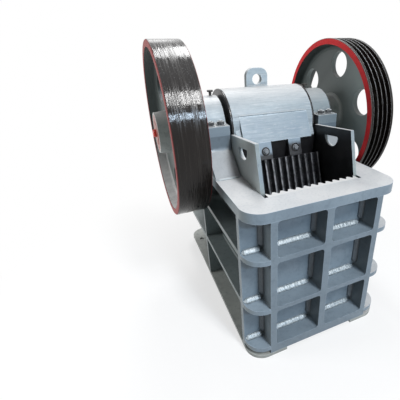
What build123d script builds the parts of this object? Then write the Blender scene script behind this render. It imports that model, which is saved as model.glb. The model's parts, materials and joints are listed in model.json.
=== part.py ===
from build123d import *
from math import asin, atan2, ceil, cos, degrees, radians, sin, sqrt
import os

# A jaw crusher of the 250 x 400 class: a welded and ribbed frame, a fixed jaw on its front wall,
# a swing jaw hung on an eccentric shaft, a flywheel on the left and a grooved pulley on the right.
# X runs along the shaft, the feed side looks to -Y, Z is up and z = 0 is the underside of the feet.
# The origin is the centre of the four foundation bolt holes. Every length is in millimetres.

# Foundation bolts
front_bolt_inset = 38.0  # behind the front wall
rear_bolt_inset = 127.0  # from the feet's rear end
bolt_edge = 41.0  # from a foot's outer edge
bolt_hole_radius = 13.0

# Shaft line
shaft_rise = 149.0  # above the deck
journal_radius = 55.0
hub_seat_radius = 50.0
eccentric_radius = 66.0
eccentric_throw = 10.0
eccentric_inset = 45.0  # from the barrel's end
running_gap = 0.3

# Crushing chamber
feed_width = 400.0
cheek_thickness = 15.0
side_gap = 5.0
body_side_gap = 10.0
teeth = 12
tooth_depth = 15.0
tooth_crest = 8.0
tooth_root = 6.0
fixed_jaw_thickness = 30.0
fixed_jaw_foot_z = 90.0
moving_jaw_thickness = 50.0
gape = 243.0
jaw_reach = 71.0  # moving jaw top ahead of the barrel
discharge_gap = 38.0
jaw_rise = 35.0  # moving jaw top above the deck
moving_jaw_foot_z = 110.0

# Cheek plates
cheek_height = 175.0  # above the deck
cheek_front_lean = 46.0
cheek_rear_height = 149.0
cheek_rear_gap = 14.0
cheek_foot_lift = 30.0
cheek_foot_length = 98.0
cheek_lower_drop = 60.0
hand_hole_radius = 46.0
hand_hole_drop = 36.0  # flat edge below the plate's top edge

# Frame
rear_reach = 474.0  # behind the shaft
rib_depth = 80.0
front_wall_thickness = 24.0
side_wall_thickness = 26.0
flange_width = 84.0
deck_top = 680.0
deck_thickness = 40.0
deck_behind_shaft = 330.0
deck_opening_behind = 165.0
corner_edge = 5.0  # straight edge left beside each quarter round
rib_thickness = 20.0
upper_rib_top = 490.0
lower_rib_top = 260.0
bottom_rib_top = 57.0
pocket_fillet = 14.0
middle_rib_thickness = 30.0
upright_rib_thickness = 20.0
foot_thickness = 16.0
foot_inset = 50.0
rear_wall_top = 450.0
rear_wall_thickness = 24.0

# Main bearings
pedestal_gap = 3.0  # from the cheek plate
pedestal_width = 104.0
pedestal_foot_half = 284.0
pedestal_half = 177.0
pedestal_shoulder_rise = 92.0  # above the deck
pedestal_fillet = 30.0
cap_radius = 125.0
cap_rise = 14.0  # of the round's centre above the shaft
cap_flange_thickness = 39.0
cap_fillet = 14.0
cover_radius = 124.0
cover_thickness = 12.0
cover_boss_radius = 90.0
cover_boss_thickness = 8.0
grease_inset = 24.0  # from the cap's inner end
grease_stem_radius = 6.0
grease_stem_height = 16.0
grease_head_radius = 13.0
grease_head_height = 7.0

# Wheels
wheel_radius = 365.0
wheel_width = 128.0
flywheel_gap = 11.0  # from the bearing cover
pulley_gap = 22.0
rim_thickness = 27.0
rim_draft = 10.0
rim_chamfer = 3.0
web_thickness = 26.0
web_fillet = 14.0
web_hole_share = 0.292  # a hole's radius against the web's width
web_hole_land = 5.0  # between a hole and the rim
web_holes = 6
web_hole_turn = 38.8
hub_radius = 86.0
hub_draft = 8.0
hub_overhang = 12.0
grooves = 4
groove_pitch = 25.5
groove_top_width = 22.0
groove_bottom_width = 12.0
groove_depth = 18.0
shaft_end_length = 2.0  # past a hub
shaft_end_chamfer = 3.0
shaft_nose_radius = 17.0
shaft_nose_length = 12.0

# Swing jaw
barrel_radius = 164.0
barrel_bore_gap = 9.0
seal_thickness = 10.0
seal_rise = 1.0  # past the barrel's surface
seal_fillet = 3.0
apron_crease_inset = 14.0  # behind the barrel's foremost line
apron_foot_reach = 41.0  # ahead of that line
apron_foot_drop = 44.0
apron_thickness = 14.0
apron_inset = 29.0  # from the barrel's end
clamp_spacing = 148.0
clamp_width = 62.0
clamp_thickness = 22.0
clamp_setback = 6.0  # behind the moving jaw's crests
pitman_foot_depth = 70.0
pitman_foot_rise = 14.0
pitman_back_behind = 138.0
pitman_back_drop = 80.0
lug_half_width = 54.0
lug_thickness = 26.0
lug_behind = 45.0
lug_rise = 79.0  # above the barrel
lug_corner_radius = 38.0
lug_hole_radius = 24.0
lug_hole_drop = 50.0

# Toggle plate and tension rod
toggle_thickness = 26.0
toggle_side_gap = 50.0
toggle_front_forward = 206.0
toggle_front_z = 205.0
toggle_rear_behind = 150.0
toggle_rear_z = 250.0
toggle_gap = 9.0
seat_thickness = 12.0
front_seat_height = 60.0
rear_seat_height = 120.0
seat_groove_depth = 8.0
rod_radius = 14.0
rod_z = 120.0
rod_end_behind = 640.0
rod_slot_gap = 18.0
spring_wire_radius = 8.0
spring_mean_radius = 34.0
spring_turns = 6
spring_front_gap = 12.0
washer_radius = 46.0
washer_thickness = 10.0
nut_radius = 26.0
nut_thickness = 24.0
rod_thread_length = 26.0

# Places that follow from the sizes above
front_wall_ahead = barrel_radius + jaw_reach + gape + fixed_jaw_thickness
front_bolts_ahead = front_wall_ahead - front_bolt_inset
rear_bolts_behind = rear_reach - rear_bolt_inset
shaft_y = (front_bolts_ahead - rear_bolts_behind) / 2
shaft_z = deck_top + shaft_rise
inner_wall_x = feed_width / 2 + cheek_thickness
outer_wall_x = inner_wall_x + side_wall_thickness
half_width = outer_wall_x + flange_width
bolt_x = half_width - bolt_edge
bolt_span_y = front_bolts_ahead + rear_bolts_behind
corner_radius = min(flange_width, rib_depth) - corner_edge
chamber_y = shaft_y - front_wall_ahead
front_wall_y = chamber_y - front_wall_thickness
front_y = front_wall_y - rib_depth
rear_y = shaft_y + rear_reach
fixed_crest_y = chamber_y + fixed_jaw_thickness
rear_wall_outer_y = rear_y - rib_depth
rear_wall_y = rear_wall_outer_y - rear_wall_thickness
deck_bottom = deck_top - deck_thickness
deck_rear_y = shaft_y + deck_behind_shaft
pedestal_x = inner_wall_x + pedestal_gap
cover_x = pedestal_x + pedestal_width
journal_end_x = cover_x + cover_thickness + cover_boss_thickness
flywheel_x = journal_end_x + flywheel_gap
pulley_x = journal_end_x + pulley_gap
barrel_half = feed_width / 2 - side_gap
seal_radius = barrel_radius + seal_rise
body_half = feed_width / 2 - body_side_gap
bore_radius = eccentric_radius + eccentric_throw + barrel_bore_gap
tooth_pitch = feed_width / teeth
web_inner = (wheel_width - web_thickness) / 2
web_outer = (wheel_width + web_thickness) / 2
rim_root = wheel_radius - rim_thickness - rim_draft
hub_root = hub_radius + hub_draft
web_outer_radius = rim_root - web_fillet
web_inner_radius = hub_root + web_fillet
web_hole_radius = web_hole_share * (web_outer_radius - web_inner_radius)
web_hole_circle = web_outer_radius - web_hole_land - web_hole_radius

# The moving jaw's crest line, from its top to its foot, and its seat on the pitman
crest_top = Vector(0, fixed_crest_y + gape, deck_top + jaw_rise)
crest_foot = Vector(0, fixed_crest_y + discharge_gap, moving_jaw_foot_z)
jaw_length = (crest_top - crest_foot).length
jaw_lean = degrees(atan2(crest_top.Y - crest_foot.Y, crest_top.Z - crest_foot.Z))
into_pitman = Vector(0, cos(radians(jaw_lean)), -sin(radians(jaw_lean)))
seat_top = crest_top + into_pitman * moving_jaw_thickness
seat_foot = crest_foot + into_pitman * moving_jaw_thickness

# The apron's front face, from its crease on the barrel to its lower edge
crease_forward = barrel_radius - apron_crease_inset
crease = (shaft_y - crease_forward, shaft_z + sqrt(barrel_radius**2 - crease_forward**2))
apron_foot = (shaft_y - barrel_radius - apron_foot_reach, shaft_z - apron_foot_drop)


def block(x0, x1, y0, y1, z0, z1):
    """A box between two corners."""
    size = Box(x1 - x0, y1 - y0, z1 - z0)
    return Pos((x0 + x1) / 2, (y0 + y1) / 2, (z0 + z1) / 2) * size


def across(outline, x0, x1):
    """A flat outline in Y and Z, extruded from x0 to x1."""
    return extrude(Plane.YZ.offset(x0) * outline, x1 - x0)


def outline_of(*points):
    """A closed flat outline through the points."""
    return Polygon(*points, align=None)


def shaft_disc(radius, x0, x1):
    """A round disc on the shaft line."""
    return Pos((x0 + x1) / 2, shaft_y, shaft_z) * Rot(0, 90, 0) * Cylinder(radius, x1 - x0)


def turned(section, x):
    """A section of (distance along the shaft, distance from it), turned about the shaft line."""
    return Pos(x, shaft_y, shaft_z) * revolve(section, Axis.X)


def sided(shape, side):
    """The shape as made for the right side, or its mirror image for the left side."""
    return shape if side > 0 else mirror(shape, Plane.YZ)


# Frame


def front_wall():
    """The plate behind the front ribs; its ends stand out past the side walls."""
    return block(-half_width, half_width, front_wall_y, chamber_y, foot_thickness, deck_bottom)


def front_rib_grid():
    """Three upright and four level ribs, with six round-cornered pockets between them."""
    height = deck_bottom - foot_thickness
    face = Pos(0, foot_thickness + height / 2) * Rectangle(2 * outer_wall_x, height)
    pocket_width = inner_wall_x - middle_rib_thickness / 2
    pocket_x = (inner_wall_x + middle_rib_thickness / 2) / 2
    floors = (bottom_rib_top, lower_rib_top, upper_rib_top)
    roofs = (lower_rib_top - rib_thickness, upper_rib_top - rib_thickness, deck_bottom)
    for side in (-1, 1):
        for low, high in zip(floors, roofs):
            pocket = RectangleRounded(pocket_width, high - low, pocket_fillet)
            face -= Pos(side * pocket_x, (low + high) / 2) * pocket
    return extrude(Plane.XZ.offset(-front_wall_y) * face, rib_depth)


def corner_flanges(side):
    """The quarter-round plates that carry each level rib round a front corner."""
    plates = []
    for top in (upper_rib_top, lower_rib_top, bottom_rib_top):
        plate = block(outer_wall_x, half_width, front_y, front_wall_y, top - rib_thickness, top)
        outer_edge = plate.edges().filter_by(Axis.Z).sort_by(Axis.Y)[:2].sort_by(Axis.X)[-1]
        plates.append(sided(fillet(outer_edge, corner_radius), side))
    return Compound(plates)


def side_wall(side):
    """One side plate: level under the deck, sloping down to the rear wall behind it."""
    outline = outline_of(
        (chamber_y, foot_thickness),
        (rear_wall_y, foot_thickness),
        (rear_wall_y, rear_wall_top),
        (deck_rear_y, deck_bottom),
        (chamber_y, deck_bottom),
    )
    return sided(across(outline, inner_wall_x, outer_wall_x), side)


def side_ribs(side):
    """The ribs on one side wall: an upright one under the shaft and level ones that meet it."""
    face = shaft_y - upright_rib_thickness / 2
    back = shaft_y + upright_rib_thickness / 2
    runs = (
        (face, back, foot_thickness, deck_bottom),
        (chamber_y, face, upper_rib_top - rib_thickness, upper_rib_top),
        (chamber_y, face, lower_rib_top - rib_thickness, lower_rib_top),
        (back, rear_wall_outer_y, lower_rib_top - rib_thickness, lower_rib_top),
    )
    ribs = [sided(block(outer_wall_x, half_width, *run), side) for run in runs]
    return Compound(ribs)


def base_flange(side):
    """The foot along one side: round at both ends and drawn inward under the front ribs."""
    foot = block(inner_wall_x - foot_inset, half_width, front_y, front_wall_y, 0, foot_thickness)
    foot += block(inner_wall_x, half_width, front_wall_y, rear_y, 0, foot_thickness)
    uprights = foot.edges().filter_by(Axis.Z)
    foot = fillet(uprights.filter_by_position(Axis.X, half_width - 1, half_width + 1), corner_radius)
    for y in (-bolt_span_y / 2, bolt_span_y / 2):
        foot -= Pos(bolt_x, y, foot_thickness / 2) * Cylinder(bolt_hole_radius, 2 * foot_thickness)
    return sided(foot, side)


def deck_plate():
    """The thick top plate, round at its front corners and open over the chamber."""
    deck = block(-half_width, half_width, front_y, deck_rear_y, deck_bottom, deck_top)
    deck = fillet(deck.edges().filter_by(Axis.Z).sort_by(Axis.Y)[:2], corner_radius)
    opening_rear_y = shaft_y + deck_opening_behind
    return deck - block(-inner_wall_x, inner_wall_x, chamber_y, opening_rear_y, 0, 2 * deck_top)


def rear_wall():
    """The rear plate with the slot that the tension rod passes through."""
    wall = block(-outer_wall_x, outer_wall_x, rear_wall_y, rear_wall_outer_y, foot_thickness, rear_wall_top)
    slot = rod_radius + rod_slot_gap
    return wall - block(-slot, slot, rear_wall_y - 1, rear_y, rod_z - slot, rod_z + slot)


def rear_ribs():
    """Level ribs behind the rear wall, round at both ends; the lower one meets the side ribs."""
    ribs = []
    for top, half in ((lower_rib_top, half_width), (rear_wall_top, outer_wall_x)):
        rib = block(-half, half, rear_wall_outer_y, rear_y, top - rib_thickness, top)
        ribs.append(fillet(rib.edges().filter_by(Axis.Z).sort_by(Axis.Y)[2:], corner_radius))
    return Compound(ribs)


# Main bearings


def bearing_pedestal(side):
    """The lower half of one main bearing, spread to a wide foot on the deck."""
    outline = outline_of(
        (shaft_y - pedestal_foot_half, deck_top),
        (shaft_y + pedestal_foot_half, deck_top),
        (shaft_y + pedestal_half, deck_top + pedestal_shoulder_rise),
        (shaft_y + pedestal_half, shaft_z),
        (shaft_y - pedestal_half, shaft_z),
        (shaft_y - pedestal_half, deck_top + pedestal_shoulder_rise),
    )
    shoulder_z = deck_top + pedestal_shoulder_rise
    shoulders = outline.vertices().filter_by_position(Axis.Y, shoulder_z - 1, shoulder_z + 1)
    body = across(fillet(shoulders, pedestal_fillet), pedestal_x, cover_x)
    return sided(body - shaft_disc(journal_radius + running_gap, 0, half_width), side)


def bearing_cap(side):
    """The upper half of one main bearing: a round back with a bolt flange at each foot."""
    flange = Pos(0, cap_flange_thickness / 2) * Rectangle(2 * pedestal_half, cap_flange_thickness)
    outline = flange + Pos(0, cap_rise) * Circle(cap_radius)
    outline &= Pos(0, cap_radius) * Rectangle(2 * pedestal_half, 2 * cap_radius)
    inner_corners = outline.vertices().filter_by_position(
        Axis.Y, cap_flange_thickness - 1, cap_flange_thickness + 1
    )
    inner_corners = inner_corners.filter_by_position(Axis.X, -cap_radius, cap_radius)
    outline = fillet(inner_corners, cap_fillet)
    outline -= Circle(journal_radius + running_gap)
    return sided(across(Pos(shaft_y, shaft_z) * outline, pedestal_x, cover_x), side)


def bearing_cover(side):
    """The stepped round cover on the outer face of one main bearing."""
    bore = journal_radius + running_gap
    section = outline_of(
        (0, bore),
        (0, cover_radius),
        (cover_thickness, cover_radius),
        (cover_thickness, cover_boss_radius),
        (cover_thickness + cover_boss_thickness, cover_boss_radius),
        (cover_thickness + cover_boss_thickness, bore),
    )
    return sided(turned(section, cover_x), side)


def grease_fitting(side):
    """The small grease cup on top of one bearing cap."""
    up = (Align.CENTER, Align.CENTER, Align.MIN)
    stem = Cylinder(grease_stem_radius, grease_stem_height, align=up)
    head = Pos(0, 0, grease_stem_height) * Cylinder(grease_head_radius, grease_head_height, align=up)
    foot = Pos(pedestal_x + grease_inset, shaft_y, shaft_z + cap_rise + cap_radius)
    return sided(foot * (stem + head), side)


# Crushing chamber


def cheek_plate(side):
    """One chamber side liner, standing above the deck with a D-shaped hand hole."""
    front_top = (fixed_crest_y + cheek_front_lean, deck_top + cheek_height)
    rear_top = (shaft_y - seal_radius - cheek_rear_gap, deck_top + cheek_rear_height)
    foot_z = moving_jaw_foot_z + cheek_foot_lift
    outline = outline_of(
        (fixed_crest_y, foot_z),
        (fixed_crest_y + cheek_foot_length, foot_z),
        (rear_top[0], deck_bottom - cheek_lower_drop),
        rear_top,
        front_top,
        (fixed_crest_y, deck_top),
    )
    size = 2 * hand_hole_radius
    hole = Circle(hand_hole_radius) & Pos(0, -hand_hole_radius) * Rectangle(size, size)
    slope = degrees(atan2(rear_top[1] - front_top[1], rear_top[0] - front_top[0]))
    edge_middle = Pos((front_top[0] + rear_top[0]) / 2, (front_top[1] + rear_top[1]) / 2)
    outline -= edge_middle * Rot(0, 0, slope) * Pos(0, -hand_hole_drop) * hole
    return sided(across(outline, feed_width / 2, inner_wall_x), side)


def toothed_outline(half_span, thickness, shift):
    """The cross-section of a corrugated jaw plate: back at y = 0, crests at y = -thickness."""
    flank = (tooth_pitch - tooth_crest - tooth_root) / 2
    root_y = tooth_depth - thickness
    last = ceil(half_span / tooth_pitch) + 1
    points = [(-last * tooth_pitch, 0)]
    for index in range(-last, last):
        crest = (index + shift) * tooth_pitch
        points += [
            (crest - tooth_crest / 2 - flank, root_y),
            (crest - tooth_crest / 2, -thickness),
            (crest + tooth_crest / 2, -thickness),
            (crest + tooth_crest / 2 + flank, root_y),
        ]
    points.append((last * tooth_pitch, 0))
    return outline_of(*points) & Pos(0, -thickness / 2) * Rectangle(2 * half_span, thickness)


def fixed_jaw_plate():
    """The corrugated plate on the front wall; its crests face the other jaw's grooves."""
    outline = Rot(0, 0, 180) * toothed_outline(feed_width / 2, fixed_jaw_thickness, 0)
    return Pos(0, chamber_y, fixed_jaw_foot_z) * extrude(outline, deck_top - fixed_jaw_foot_z)


def moving_jaw_plate():
    """The corrugated plate on the swing jaw, leaning with the pitman."""
    plate = extrude(toothed_outline(barrel_half, moving_jaw_thickness, 0.5), jaw_length)
    return Pos(0, seat_foot.Y, seat_foot.Z) * Rot(-jaw_lean, 0, 0) * plate


# Swing jaw


def pitman():
    """The swing jaw casting: a barrel round the eccentric and a tapering body below it."""
    toggle_y = shaft_y - toggle_front_forward - seat_thickness
    outline = outline_of(
        (crease[0] + apron_thickness, crease[1]),
        (apron_foot[0] + apron_thickness, apron_foot[1]),
        (seat_top.Y, seat_top.Z),
        (seat_foot.Y, seat_foot.Z),
        (seat_foot.Y + pitman_foot_depth, seat_foot.Z - pitman_foot_rise),
        (toggle_y, toggle_front_z - front_seat_height),
        (toggle_y, toggle_front_z + front_seat_height),
        (shaft_y + pitman_back_behind, shaft_z - pitman_back_drop),
    )
    casting = across(outline, -body_half, body_half)
    casting += shaft_disc(barrel_radius, -barrel_half, barrel_half)
    return casting - shaft_disc(bore_radius, -feed_width, feed_width)


def apron_plate():
    """The flat plate over the front of the barrel, down to the jaw clamps."""
    outline = outline_of(
        crease,
        apron_foot,
        (apron_foot[0] + apron_thickness, apron_foot[1]),
        (crease[0] + apron_thickness, crease[1]),
    )
    return across(outline, apron_inset - barrel_half, barrel_half - apron_inset) - pitman()


def jaw_clamp(side):
    """One wedge clamp that holds the moving jaw plate's top edge."""
    foot_y = crest_top.Y + clamp_setback
    outline = outline_of(
        apron_foot,
        (foot_y, crest_top.Z),
        (foot_y + 2 * clamp_thickness, crest_top.Z - clamp_thickness),
        (apron_foot[0] + clamp_thickness, apron_foot[1]),
    )
    middle = clamp_spacing / 2
    clamp = across(outline, middle - clamp_width / 2, middle + clamp_width / 2)
    return sided(clamp - pitman() - moving_jaw_plate(), side)


def end_seal(side):
    """The black ring that closes one end of the barrel round the shaft."""
    bore = journal_radius + running_gap
    section = Rectangle(seal_thickness, seal_radius - bore, align=(Align.MIN, Align.MIN))
    section = Pos(0, bore) * fillet(section.vertices().sort_by(Axis.Y)[2:], seal_fillet)
    return sided(turned(section, barrel_half), side)


def lifting_lug():
    """The round-shouldered eye plate on top of the barrel."""
    top_z = shaft_z + barrel_radius + lug_rise
    outline = Pos(0, (top_z + shaft_z) / 2) * Rectangle(2 * lug_half_width, top_z - shaft_z)
    outline = fillet(outline.vertices().sort_by(Axis.Y)[2:], lug_corner_radius)
    outline -= Pos(0, top_z - lug_hole_drop) * Circle(lug_hole_radius)
    back_y = shaft_y + lug_behind + lug_thickness / 2
    lug = extrude(Plane.XZ.offset(-back_y) * outline, lug_thickness)
    return lug - shaft_disc(barrel_radius, -feed_width, feed_width)


# Toggle plate and tension rod


def toggle_end_points():
    """The centres of the toggle plate's two round ends, as (y, z)."""
    radius = toggle_thickness / 2
    front = (shaft_y - toggle_front_forward + toggle_gap + radius, toggle_front_z)
    rear = (shaft_y + toggle_rear_behind + seat_groove_depth - radius, toggle_rear_z)
    return front, rear


def toggle_plate():
    """The flat strut with round ends between the rear wall and the foot of the swing jaw."""
    front, rear = toggle_end_points()
    length = sqrt((rear[0] - front[0]) ** 2 + (rear[1] - front[1]) ** 2)
    lift = degrees(asin((rear[1] - front[1]) / length))
    outline = SlotCenterToCenter(length, toggle_thickness)
    outline = Pos((front[0] + rear[0]) / 2, (front[1] + rear[1]) / 2) * Rot(0, 0, lift) * outline
    half = feed_width / 2 - toggle_side_gap
    return across(outline, -half, half)


def rear_toggle_seat():
    """The adjusting block on the rear wall, grooved for the toggle plate's round end."""
    seat_y = shaft_y + toggle_rear_behind
    half_height = rear_seat_height / 2
    low, high = toggle_rear_z - half_height, toggle_rear_z + half_height
    seat = block(-inner_wall_x, inner_wall_x, seat_y, rear_wall_y, low, high)
    groove_y, groove_z = toggle_end_points()[1]
    groove = Rot(0, 90, 0) * Cylinder(toggle_thickness / 2 + running_gap, 2 * inner_wall_x)
    return seat - Pos(0, groove_y, groove_z) * groove


def front_toggle_seat():
    """The hardened seat at the foot of the swing jaw that faces the toggle plate."""
    back_y = shaft_y - toggle_front_forward
    half = feed_width / 2 - toggle_side_gap
    low, high = toggle_front_z - front_seat_height / 2, toggle_front_z + front_seat_height / 2
    return block(-half, half, back_y - seat_thickness, back_y, low, high)


def tension_rod():
    """The rod that pulls the swing jaw back against the toggle plate."""
    start = seat_foot.Y
    end = shaft_y + rod_end_behind
    rod = Pos(0, (start + end) / 2, rod_z) * Rot(90, 0, 0) * Cylinder(rod_radius, end - start)
    pieces = (rod - pitman()).solids()
    return pieces.sort_by(Axis.Y)[-1]


def nut_y():
    """Where the washer on the tension rod begins."""
    return shaft_y + rod_end_behind - rod_thread_length - nut_thickness - washer_thickness


def tension_spring():
    """The coil spring on the tension rod, behind the rear wall."""
    start = rear_wall_outer_y + spring_front_gap + spring_wire_radius
    rise = nut_y() - spring_wire_radius - start
    coil = Helix(rise / spring_turns, rise, spring_mean_radius)
    section = Plane(coil @ 0, z_dir=coil % 0) * Circle(spring_wire_radius)
    return Pos(0, start, rod_z) * Rot(-90, 0, 0) * sweep(section, path=coil, is_frenet=True)


def spring_nut():
    """The washer and nut at the rear end of the tension rod."""
    washer = extrude(Circle(washer_radius), washer_thickness)
    nut = extrude(RegularPolygon(nut_radius, 6), washer_thickness + nut_thickness)
    whole = washer + nut - Cylinder(rod_radius + running_gap, 4 * nut_radius)
    return Pos(0, nut_y(), rod_z) * Rot(-90, 0, 0) * whole


# Rotor


def eccentric_shaft():
    """The shaft: two journals, a hub seat and a small nose at each end, and the eccentric in the middle."""
    left_end = -(flywheel_x + wheel_width + hub_overhang + shaft_end_length)
    right_end = pulley_x + wheel_width + hub_overhang + shaft_end_length
    seats = shaft_disc(hub_seat_radius, left_end, right_end)
    noses = shaft_disc(shaft_nose_radius, left_end - shaft_nose_length, right_end + shaft_nose_length)
    shaft = chamfer(seats.edges().filter_by(GeomType.CIRCLE), shaft_end_chamfer)
    shaft += chamfer(noses.edges().filter_by(GeomType.CIRCLE), shaft_end_chamfer)
    shaft += shaft_disc(journal_radius, -journal_end_x, journal_end_x)
    lobe_half = barrel_half - eccentric_inset
    return shaft + Pos(0, 0, eccentric_throw) * shaft_disc(eccentric_radius, -lobe_half, lobe_half)


def rim(grooved, inner_x):
    """A wheel's rim, with the short inner flange that carries the web."""
    inside = wheel_radius - rim_thickness
    section = outline_of(
        (0, wheel_radius),
        (0, inside),
        (web_inner, rim_root),
        (web_inner, web_outer_radius),
        (web_outer, web_outer_radius),
        (web_outer, rim_root),
        (wheel_width, inside),
        (wheel_width, wheel_radius),
    )
    section = chamfer(section.vertices().sort_by(Axis.Y)[-2:], rim_chamfer)
    section = fillet(section.vertices().sort_by(Axis.Y)[2:4], web_fillet)
    if grooved:
        for index in range(grooves):
            middle = wheel_width / 2 + (index - (grooves - 1) / 2) * groove_pitch
            section -= outline_of(
                (middle - groove_top_width / 2, wheel_radius),
                (middle - groove_bottom_width / 2, wheel_radius - groove_depth),
                (middle + groove_bottom_width / 2, wheel_radius - groove_depth),
                (middle + groove_top_width / 2, wheel_radius),
            )
    return turned(section, inner_x)


def web(inner_x):
    """The flat disc between a wheel's rim and hub, with its ring of round holes."""
    disc = Circle(web_outer_radius) - Circle(web_inner_radius)
    disc -= Rot(0, 0, web_hole_turn) * PolarLocations(web_hole_circle, web_holes) * Circle(web_hole_radius)
    return across(Pos(shaft_y, shaft_z) * disc, inner_x + web_inner, inner_x + web_outer)


def hub(inner_x):
    """A wheel's hub: flush with the rim inside, proud of it outside, with a flange for the web."""
    section = outline_of(
        (0, hub_seat_radius),
        (0, hub_radius),
        (web_inner, hub_root),
        (web_inner, web_inner_radius),
        (web_outer, web_inner_radius),
        (web_outer, hub_root),
        (wheel_width + hub_overhang, hub_radius),
        (wheel_width + hub_overhang, hub_seat_radius),
    )
    section = fillet(section.vertices().sort_by(Axis.Y)[4:6], web_fillet)
    return turned(section, inner_x)


def flywheel_rim():
    """The smooth rim of the flywheel on the left."""
    return sided(rim(False, flywheel_x), -1)


def flywheel_web():
    """The holed web of the flywheel."""
    return sided(web(flywheel_x), -1)


def flywheel_hub():
    """The hub of the flywheel."""
    return sided(hub(flywheel_x), -1)


def pulley_rim():
    """The rim of the driven wheel on the right, with grooves for the belts."""
    return rim(True, pulley_x)


def pulley_web():
    """The holed web of the grooved pulley."""
    return web(pulley_x)


def pulley_hub():
    """The hub of the grooved pulley."""
    return hub(pulley_x)


single_pieces = (
    front_wall,
    front_rib_grid,
    deck_plate,
    rear_wall,
    rear_ribs,
    fixed_jaw_plate,
    toggle_plate,
    rear_toggle_seat,
    pitman,
    apron_plate,
    moving_jaw_plate,
    lifting_lug,
    front_toggle_seat,
    tension_rod,
    tension_spring,
    spring_nut,
    eccentric_shaft,
    flywheel_rim,
    flywheel_web,
    flywheel_hub,
    pulley_rim,
    pulley_web,
    pulley_hub,
)
paired_pieces = (
    corner_flanges,
    side_wall,
    side_ribs,
    base_flange,
    bearing_pedestal,
    bearing_cap,
    bearing_cover,
    grease_fitting,
    cheek_plate,
    end_seal,
    jaw_clamp,
)

os.makedirs("parts", exist_ok=True)
for make in single_pieces:
    export_step(make(), f"parts/{make.__name__}.step")
for make in paired_pieces:
    export_step(make(-1), f"parts/left_{make.__name__}.step")
    export_step(make(1), f"parts/right_{make.__name__}.step")
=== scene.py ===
import json
import math
import random

import bmesh
import bpy
from mathutils import Matrix, Vector


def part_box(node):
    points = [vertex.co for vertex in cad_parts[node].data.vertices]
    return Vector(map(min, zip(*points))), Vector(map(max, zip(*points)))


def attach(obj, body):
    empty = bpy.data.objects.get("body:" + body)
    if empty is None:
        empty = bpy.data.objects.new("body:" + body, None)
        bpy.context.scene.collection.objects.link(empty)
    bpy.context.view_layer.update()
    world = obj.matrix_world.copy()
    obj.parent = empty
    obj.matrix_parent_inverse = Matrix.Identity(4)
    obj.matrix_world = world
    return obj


# A jaw crusher: painted and welded frame, black jaw plates, a black flywheel and a grooved pulley
# with red rim faces. Everything is in metres, X along the shaft, the feed side towards -Y, Z up.

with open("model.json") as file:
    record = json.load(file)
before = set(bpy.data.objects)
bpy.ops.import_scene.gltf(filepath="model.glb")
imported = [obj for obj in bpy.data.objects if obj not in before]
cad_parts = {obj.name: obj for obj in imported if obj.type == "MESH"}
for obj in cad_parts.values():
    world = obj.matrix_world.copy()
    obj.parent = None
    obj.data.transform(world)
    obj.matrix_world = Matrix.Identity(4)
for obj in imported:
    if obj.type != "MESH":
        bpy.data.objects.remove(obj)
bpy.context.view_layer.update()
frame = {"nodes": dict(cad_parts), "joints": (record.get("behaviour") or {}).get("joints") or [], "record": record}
nodes = frame["nodes"]
random.seed(7)

# Camera, as the photograph was taken from
CAMERA_PLACE = Vector((-0.6203, -1.3296, 1.1617))
CAMERA_YAW = 0.4212
CAMERA_PITCH = -0.4465
CAMERA_ROLL = -0.0147
FOCAL_PIXELS = 308.4
AXIS_PIXEL = Vector((262.0, 194.0))
FRAME_PIXELS = 400.0
SENSOR = 36.0
AMBIENT = 0.17

# Places and sizes read from the frame
SHAFT = Vector(frame["joints"][0]["pos_m"])
SIDES = (("left", -1), ("right", 1))
DECK_LOW, DECK_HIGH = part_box("deck_plate")
GRID_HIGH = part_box("front_rib_grid")[1]
WALL_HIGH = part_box("front_wall")[1]
CAP_LOW, CAP_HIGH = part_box("right_bearing_cap")
PEDESTAL_LOW, PEDESTAL_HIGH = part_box("right_bearing_pedestal")
COVER_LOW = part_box("right_bearing_cover")[0]
CLAMP_LOW, CLAMP_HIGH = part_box("right_jaw_clamp")
BARREL_LOW, BARREL_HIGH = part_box("pitman")
LUG_LOW, LUG_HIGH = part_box("lifting_lug")
APRON_LOW, APRON_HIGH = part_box("apron_plate")
SHAFT_LOW, SHAFT_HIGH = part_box("eccentric_shaft")
BARREL_RADIUS = BARREL_HIGH.z - SHAFT.z
FIXED_CREST = Vector((0.0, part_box("fixed_jaw_plate")[1].y, 0.0))

# Sizes and places in the CAD that the boxes do not give
FLANGE_TOP = SHAFT.z + 0.039
COVER_THICKNESS = 0.012
JAW_TOP = Vector((0.0, -0.1735, 0.715))
JAW_FOOT = Vector((0.0, -0.3785, 0.110))
JAW_LEAN = Vector((0.0, JAW_FOOT.z - JAW_TOP.z, JAW_TOP.y - JAW_FOOT.y)).normalized()
TOOTH_PITCH = 0.400 / 12
RIB_TOPS = (0.057, 0.260, 0.490)
RIB_THICKNESS = 0.020
MIDDLE_RIB = 0.030
UPRIGHT_RIB = 0.020
POCKET_OUTER = 0.215
FOOT_TOP = 0.016
HUB_FACE_RADIUS = 0.078
NOSE_RADIUS = 0.018
RIM_THICKNESS = 0.027


# Materials


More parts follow.
